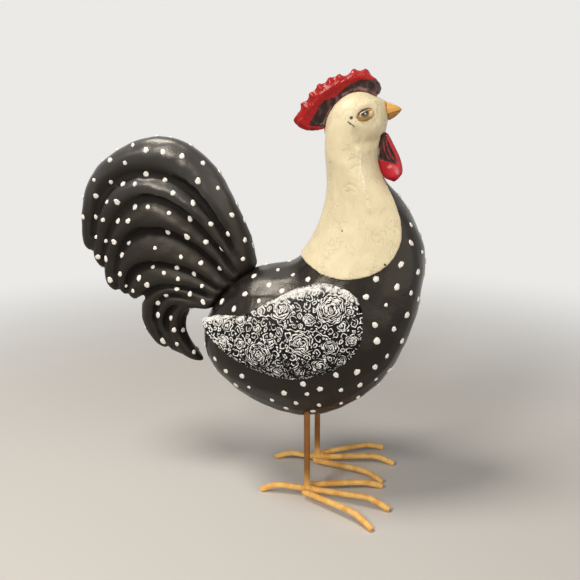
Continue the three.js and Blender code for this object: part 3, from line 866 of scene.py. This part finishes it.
red_paint = Finish("red_paint")
web, proud, seam = (red_paint.painted(name) for name in ("web", "proud", "seam"))
mottle = red_paint.noise(2.6, 4)
strands = red_paint.noise(2.8, 3, (1, 1, 0.5))
red = red_paint.blend(mottle, RED, RED_LIGHT)
red = red_paint.blend(red_paint.painted("blush"), red, CRIMSON)
# A painted sheen over the front top of the web
front_sheen = red_paint.along(0).rise(72, 90) * red_paint.along(2).rise(280, 300) * strands.rise(0.3, 0.65)
washed = red_paint.blend(strands.rise(0.45, 0.75) * 0.5, WASH, WASH_THIN)
washed = red_paint.blend(0.12 * front_sheen, washed, WEB_SHEEN)
red = red_paint.blend((web + (mottle - 0.5) * 1.9).rise(0.36, 0.62), red, washed)
red = red_paint.blend(0.85 * seam * strands.rise(0.3, 0.5), red, SEAM)
# Painted pink highlights on what stands proud
highlight_spots = (red_paint.noise(6, 3) + 0.12 - 0.25 * web).rise(0.45, 0.7)
red = red_paint.blend(proud * highlight_spots * 0.5, red, PINK_HIGHLIGHT)
red_paint.surface({
    "Base Color": red,
    "Roughness": 0.14 + 0.2 * mottle,
    "Specular IOR Level": 0.28,
    "Normal": red_paint.bump(mottle + strands, 0.3),
})
red_paint.on(comb)

for side in ("left", "right"):
    wattle = refined(side + "_wattle", side + "_wattle_drop", voxel=0.28 * MM, passes=6)
    skin = points_of(wattle)
    outward = normals_of(wattle)
    edge = np.interp(skin[:, 2], [z for x, z in WATTLE_EDGE[::-1]], [x for x, z in WATTLE_EDGE[::-1]])
    from_pillow = np.linalg.norm((skin[:, [0, 2]] - PILLOW) / (6.2, 8), axis=1)
    sloped = skin[:, 2] + 0.3 * (skin[:, 0] - 106)
    hollow = fade(skin[:, 0] - edge, 0.5, -0.7) * fade(sloped, 257, 258.6)
    ridge = sum(fade(from_line(skin, line), 0.75, 0.15) for line in WATTLE_RIDGES)
    ridge = ridge * fade(skin[:, 2], 257, 260)
    pillow = fade(from_pillow, 0.95, 0.2)
    flank = fade(np.abs(outward[:, 1]), 0.25, 0.7)
    raise_points(wattle, flank * (0.5 * ridge - 0.95 * hollow + 0.9 * pillow))
    paint_points(wattle, "web", hollow * (1 - 0.55 * ridge))
    # A painted highlight band across the pillow, and the hollow's ridges
    shine = fade(from_line(skin, SHINE), 1.7, 0.4)
    paint_points(wattle, "proud", 0.3 * ridge * hollow + 0.9 * shine * flank)
    paint_points(wattle, "seam", np.zeros(len(skin)))
    paint_points(wattle, "blush", 0.35 + 0.65 * pillow)
    red_paint.on(wattle)


# Beak
# A short cast cone, pegged into the head. It is orange gold with a painted highlight along its
# ridge, a dark line between its halves and the lower one browner.

MOUTH = [(103, 287.6), (105.9, 289), (108.3, 289.9), (111, 290.7), (115.2, 291.8)]
GOLD = (0.60, 0.30, 0.06)
GOLD_LIGHT = (0.72, 0.40, 0.11)
GOLD_HIGHLIGHT = (0.80, 0.60, 0.28)
GOLD_BROWN = (0.30, 0.135, 0.033)
MOUTH_BROWN = (0.16, 0.07, 0.015)

beak = refined("beak", "beak_cone", voxel=0.25 * MM, passes=6)
skin = points_of(beak)
mouth = from_line(skin, MOUTH)
raise_points(beak, -0.45 * fade(mouth, 0.8, 0.1))
mouth_height = np.interp(skin[:, 0], [x for x, z in MOUTH], [z for x, z in MOUTH])
paint_points(beak, "mouth", fade(mouth, 0.6, 0.1))
paint_points(beak, "lower", fade(skin[:, 2] - mouth_height, 0.2, -0.5))
# A painted highlight where the beak faces up
paint_points(beak, "top_highlight", fade(normals_of(beak)[:, 2], 0.62, 0.86))

beak_paint = Finish("beak_paint")
shade = beak_paint.noise(3, 4)
gold = beak_paint.blend(shade, GOLD, GOLD_LIGHT)
gold = beak_paint.blend(0.6 * beak_paint.painted("top_highlight"), gold, GOLD_HIGHLIGHT)
gold = beak_paint.blend(0.85 * beak_paint.painted("lower"), gold, GOLD_BROWN)
gold = beak_paint.blend(0.8 * beak_paint.painted("mouth"), gold, MOUTH_BROWN)
beak_paint.surface({
    "Base Color": gold,
    "Roughness": 0.34 + 0.14 * shade,
    "Specular IOR Level": 0.3,
    "Normal": beak_paint.bump(shade, 0.2),
})
beak_paint.on(beak)


# Legs
# Bent steel rod in a brighter gold, glued into the belly, with painted shade making the shanks
# browner towards the top. The toes are welded on low down and their ends are cut square.

LEG_GOLD = (0.78, 0.38, 0.09)
LEG_GOLD_LIGHT = (0.96, 0.62, 0.20)
SHANK_SHADE = (0.18, 0.058, 0.008)
LEG_DIRT = (0.24, 0.11, 0.03)
SHANK_X = 53.07
SHANK_OUT = 24.75

# Lumps of weld metal: how far ahead of the shank, outwards from it and above the table, and radius
WELD_LUMPS = [
    (0, 0, 4.9, 3.3), (2.2, 0, 5.7, 2.6), (-2.2, 0, 6.1, 2.5), (2.4, -2.2, 6.1, 2.2),
    (0.6, -2.7, 7, 2.2), (1.2, 2.9, 8, 2.7), (2.6, 2.2, 6.5, 2.8), (-1.8, 2.4, 7.4, 2.2),
    (0.3, 2.6, 6.3, 2.5),
]

leg_paint = Finish("leg_paint")
height = leg_paint.along(2)
shade = leg_paint.noise(7, 4)
rub = leg_paint.noise(1.3, 3)
gold = leg_paint.blend(shade.rise(0.3, 0.7), LEG_GOLD, LEG_GOLD_LIGHT)
# Painted shade: browner up the shanks
gold = leg_paint.blend(height.rise(4, 26) * 0.9, gold, SHANK_SHADE)
gold = leg_paint.blend((shade * height.rise(14, 5)).rise(0.5, 0.8) * 0.35, gold, LEG_DIRT)
leg_paint.surface({
    "Base Color": gold,
    "Roughness": 0.38 + 0.16 * shade,
    "Specular IOR Level": 0.25,
    "Normal": leg_paint.bump(shade + 0.5 * rub, 0.22),
})

for side in ("left", "right"):
    for part in ("shank", "outer_toe", "middle_toe", "inner_toe", "back_toe"):
        node = side + "_" + part
        rod = refined(node, node + "_rod", voxel=0.34 * MM, passes=5)
        leg_paint.on(rod)

    # The toes are welded to the shank, with most of the metal on the outer side
    outward = 1 if side == "left" else -1
    balls = []
    for ahead, out, up, radius in WELD_LUMPS:
        centre = ((SHANK_X + ahead) * MM, (SHANK_OUT + out) * outward * MM, up * MM)
        bpy.ops.mesh.primitive_uv_sphere_add(segments=20, ring_count=12, radius=radius * MM, location=centre)
        balls.append(bpy.context.object)
    for ball in balls:
        ball.select_set(True)
    bpy.ops.object.join()
    weld = bpy.context.object
    weld.name = side + "_foot_weld"
    bpy.ops.object.transform_apply(location=True, rotation=True, scale=True)
    rebuild(weld, 0.35 * MM)
    smooth(weld, 5)
    raise_points(weld, lumps(points_of(weld), [(3.2, 0.3)]))
    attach(weld, "root")
    leg_paint.on(weld)


# Dots
# Raised drops of off-white paint, 3 to 5 mm wide, all over the torso and tail. Those that the
# picture shows are where it shows them, and the rest are spread at the same distance.

# Pixels from the left and the top of the picture, read off: on the torso, then the tail
SEEN_DOTS = [
    (254, 276), (266, 264), (278, 270), (290, 261), (293, 275), (308, 279.5), (269, 285),
    (282, 291), (259, 301), (245, 294), (222, 302), (234, 309), (401, 264.5), (418, 272),
    (427, 261), (422, 252), (411, 243), (411, 225), (410, 208), (402, 193), (376, 279), (397, 287),
    (411, 293), (418, 299), (366, 297), (386, 305), (407, 315), (375, 325), (394, 329), (413, 325),
    (377, 341), (402, 341), (405, 351), (387, 356), (375, 367), (357, 372), (336, 375), (389, 370),
    (376, 379), (360, 385), (358, 397), (341, 390), (320, 389), (303, 384), (307, 394), (284, 393),
    (296, 403), (319, 405), (272, 400), (249, 387), (236, 385), (242, 376), (226, 371), (215, 359),
    (341, 403), (335, 411), (313, 411), (286, 408), (274, 411), (295, 415), (317, 415),
    (157, 136), (171, 137), (192, 144), (133, 145), (117, 149), (146, 150), (163, 152), (182, 156),
    (102, 160), (110, 160), (125, 163), (203, 163), (221, 171), (94, 180), (146, 174), (111, 182),
    (135, 184), (123, 184), (165, 180), (198, 181), (218, 188), (83, 197), (96, 196), (107, 202),
    (117, 202), (135, 207), (148, 207), (173, 193), (193, 203), (169, 213), (232, 215), (239, 203),
    (245, 220), (83, 217), (96, 217), (103, 220), (118, 221), (128, 221), (190, 219), (211, 224),
    (96, 237), (106, 241), (114, 242), (129, 243), (168, 232), (187, 237), (228, 234), (206, 242),
    (245, 240), (155, 248), (254, 245), (181, 257), (122, 255), (98, 257), (106, 259), (201, 263),
    (243, 259), (153, 267), (164, 273), (177, 268), (120, 274), (101, 268), (194, 274), (139, 278),
    (178, 279), (147, 285), (126, 286), (110, 280), (202, 286), (177, 289), (190, 294), (220, 268),
    (133, 291), (166, 295), (142, 303), (158, 303), (203, 302), (222, 301), (141, 317), (158, 315),
    (171, 318), (144, 328), (174, 330), (183, 330), (163, 341), (177, 344), (170, 350), (194, 352),
    (134, 305),
]
DOT_SPACING = 12.6
COVER_GAP = 4
MIRRORED_BEYOND = 4
TRIES = 5000
DOT_RADII = (1.6, 1.8, 1.95, 2.1, 2.25)
DIMPLES = (0, 0.35, 0, 0.2, 0)
DOT_CREAM = (0.80, 0.77, 0.71)
DOT_WHITE = (0.92, 0.90, 0.86)


def seen_place(pixel, castings):
    """The casting that shows at a pixel of the picture, and the place on its skin."""
    eye = camera.matrix_world.translation
    middle = PICTURE_WIDTH / 2
    aim = camera.matrix_world @ Vector((pixel[0] - middle, middle - pixel[1], -FOCAL_LENGTH))
    ray = (aim - eye).normalized()
    hits = [(casting, *casting.ray_cast(eye, ray)[:2]) for casting in castings]
    hits = [(casting, place) for casting, found, place in hits if found]
    if hits:
        return min(hits, key=lambda hit: (hit[1] - eye).length)

    # The ray passes just outside the outline: the skin nearest to it is found in a few steps
    place = eye - ray * (eye.y / ray.y)
    for _ in range(6):
        near = [(casting, casting.closest_point_on_mesh(place)[1]) for casting in castings]
        nearest = min(near, key=lambda hit: (hit[1] - place).length)
        place = eye + ray * (nearest[1] - eye).dot(ray)
    return nearest


def drop_shape(name, dimple, seed):
    """Flat uneven dome of radius 1 with its foot sunk below zero, dimpled on top if asked."""
    pick = random.Random(seed)
    waves = [(lobes, pick.uniform(0.03, 0.09), pick.uniform(0, 6.3)) for lobes in (2, 3, 5)]
    bpy.ops.mesh.primitive_uv_sphere_add(segments=14, ring_count=10, radius=1)
    drop = bpy.context.object
    drop.name = name
    bpy.ops.object.mode_set(mode="EDIT")
    bpy.ops.mesh.select_all(action="SELECT")
    bpy.ops.mesh.bisect(plane_co=(0, 0, -0.1), plane_no=(0, 0, 1), clear_inner=True)
    bpy.ops.object.mode_set(mode="OBJECT")
    for point in drop.data.vertices:
        angle = math.atan2(point.co.y, point.co.x)
        reach = 1 + sum(size * math.cos(lobes * angle + turn) for lobes, size, turn in waves)
        point.co.x *= reach
        point.co.y *= reach
        point.co.z = point.co.z ** 3 * (1 - dimple) if point.co.z > 0.9 else point.co.z
    shape = drop.data
    bpy.data.objects.remove(drop)
    return shape


def spread(piece, seen, covers, seed):
    """Places on the piece for its dots: seen, mirrored, and filling what the camera misses."""
    pick = random.Random(seed)
    places = []
    for x, y, z in [place / MM for casting, place in seen if casting == piece]:
        places.append(Vector((x, y, z)))
        if abs(y) > MIRRORED_BEYOND:
            places.append(Vector((x + pick.uniform(-2, 2), -y, z + pick.uniform(-2, 2))))

    # Others go where the skin is turned away from the camera and no other piece is near
    trees = [BVHTree.FromObject(cover, bpy.context.evaluated_depsgraph_get()) for cover in covers]
    eye = Vector(CAMERA_PLACE)
    vertices = piece.data.vertices
    for _ in range(TRIES):
        vertex = vertices[pick.randrange(len(vertices))]
        if vertex.normal.dot(eye - vertex.co) > -0.02:
            continue
        if any(tree.find_nearest(vertex.co, COVER_GAP * MM)[0] for tree in trees):
            continue
        place = vertex.co / MM
        if all((place - other).length > DOT_SPACING for other in places):
            places.append(place)
    return places


def dotted(piece, name, places, seed):
    """One piece of all the dots on a casting."""
    pick = random.Random(seed)
    shapes = [drop_shape(f"drop_{index}", dimple, index) for index, dimple in enumerate(DIMPLES)]
    drops = []
    for place in places:
        _, on_skin, outward, _ = piece.closest_point_on_mesh(place * MM)
        radius = pick.choice(DOT_RADII) + pick.uniform(-0.12, 0.12)
        across = radius * pick.uniform(0.82, 1.05)
        along = radius * pick.uniform(0.98, 1.22)
        height = pick.uniform(0.8, 1.15)
        turn = outward.to_track_quat("Z", "Y").to_matrix().to_4x4()
        spin = Matrix.Rotation(pick.uniform(-0.7, 0.7), 4, "Z")
        size = Matrix.Diagonal((across * MM, along * MM, height * MM, 1))
        drop = bpy.data.objects.new(name, pick.choice(shapes).copy())
        drop.matrix_world = Matrix.Translation(on_skin) @ turn @ spin @ size
        scene.collection.objects.link(drop)
        drops.append(drop)
    bpy.ops.object.select_all(action="DESELECT")
    for drop in drops:
        drop.select_set(True)
    bpy.context.view_layer.objects.active = drops[0]
    bpy.ops.object.join()
    bpy.ops.object.transform_apply(location=True, rotation=True, scale=True)
    bpy.ops.object.shade_smooth()
    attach(drops[0], "root")
    dot_paint.on(drops[0])


dot_paint = Finish("dot_paint")
ripple = dot_paint.noise(1.2, 2)
dot_paint.surface({
    "Base Color": dot_paint.blend(ripple, DOT_CREAM, DOT_WHITE),
    "Roughness": 0.32 + 0.15 * ripple,
    "Normal": dot_paint.bump(ripple, 0.35),
})

wings = [bpy.data.objects[side + "_wing_casting"] for side in ("left", "right")]
rods = [bpy.data.objects[side + "_shank_rod"] for side in ("left", "right")]
seen = [seen_place(pixel, [torso, tail]) for pixel in SEEN_DOTS]
on_torso = spread(torso, seen, [neck, tail, *wings, *rods], seed=5)
on_tail = spread(tail, seen, [torso], seed=7)
dotted(torso, "torso_dots", on_torso, seed=6)
dotted(tail, "tail_dots", on_tail, seed=8)
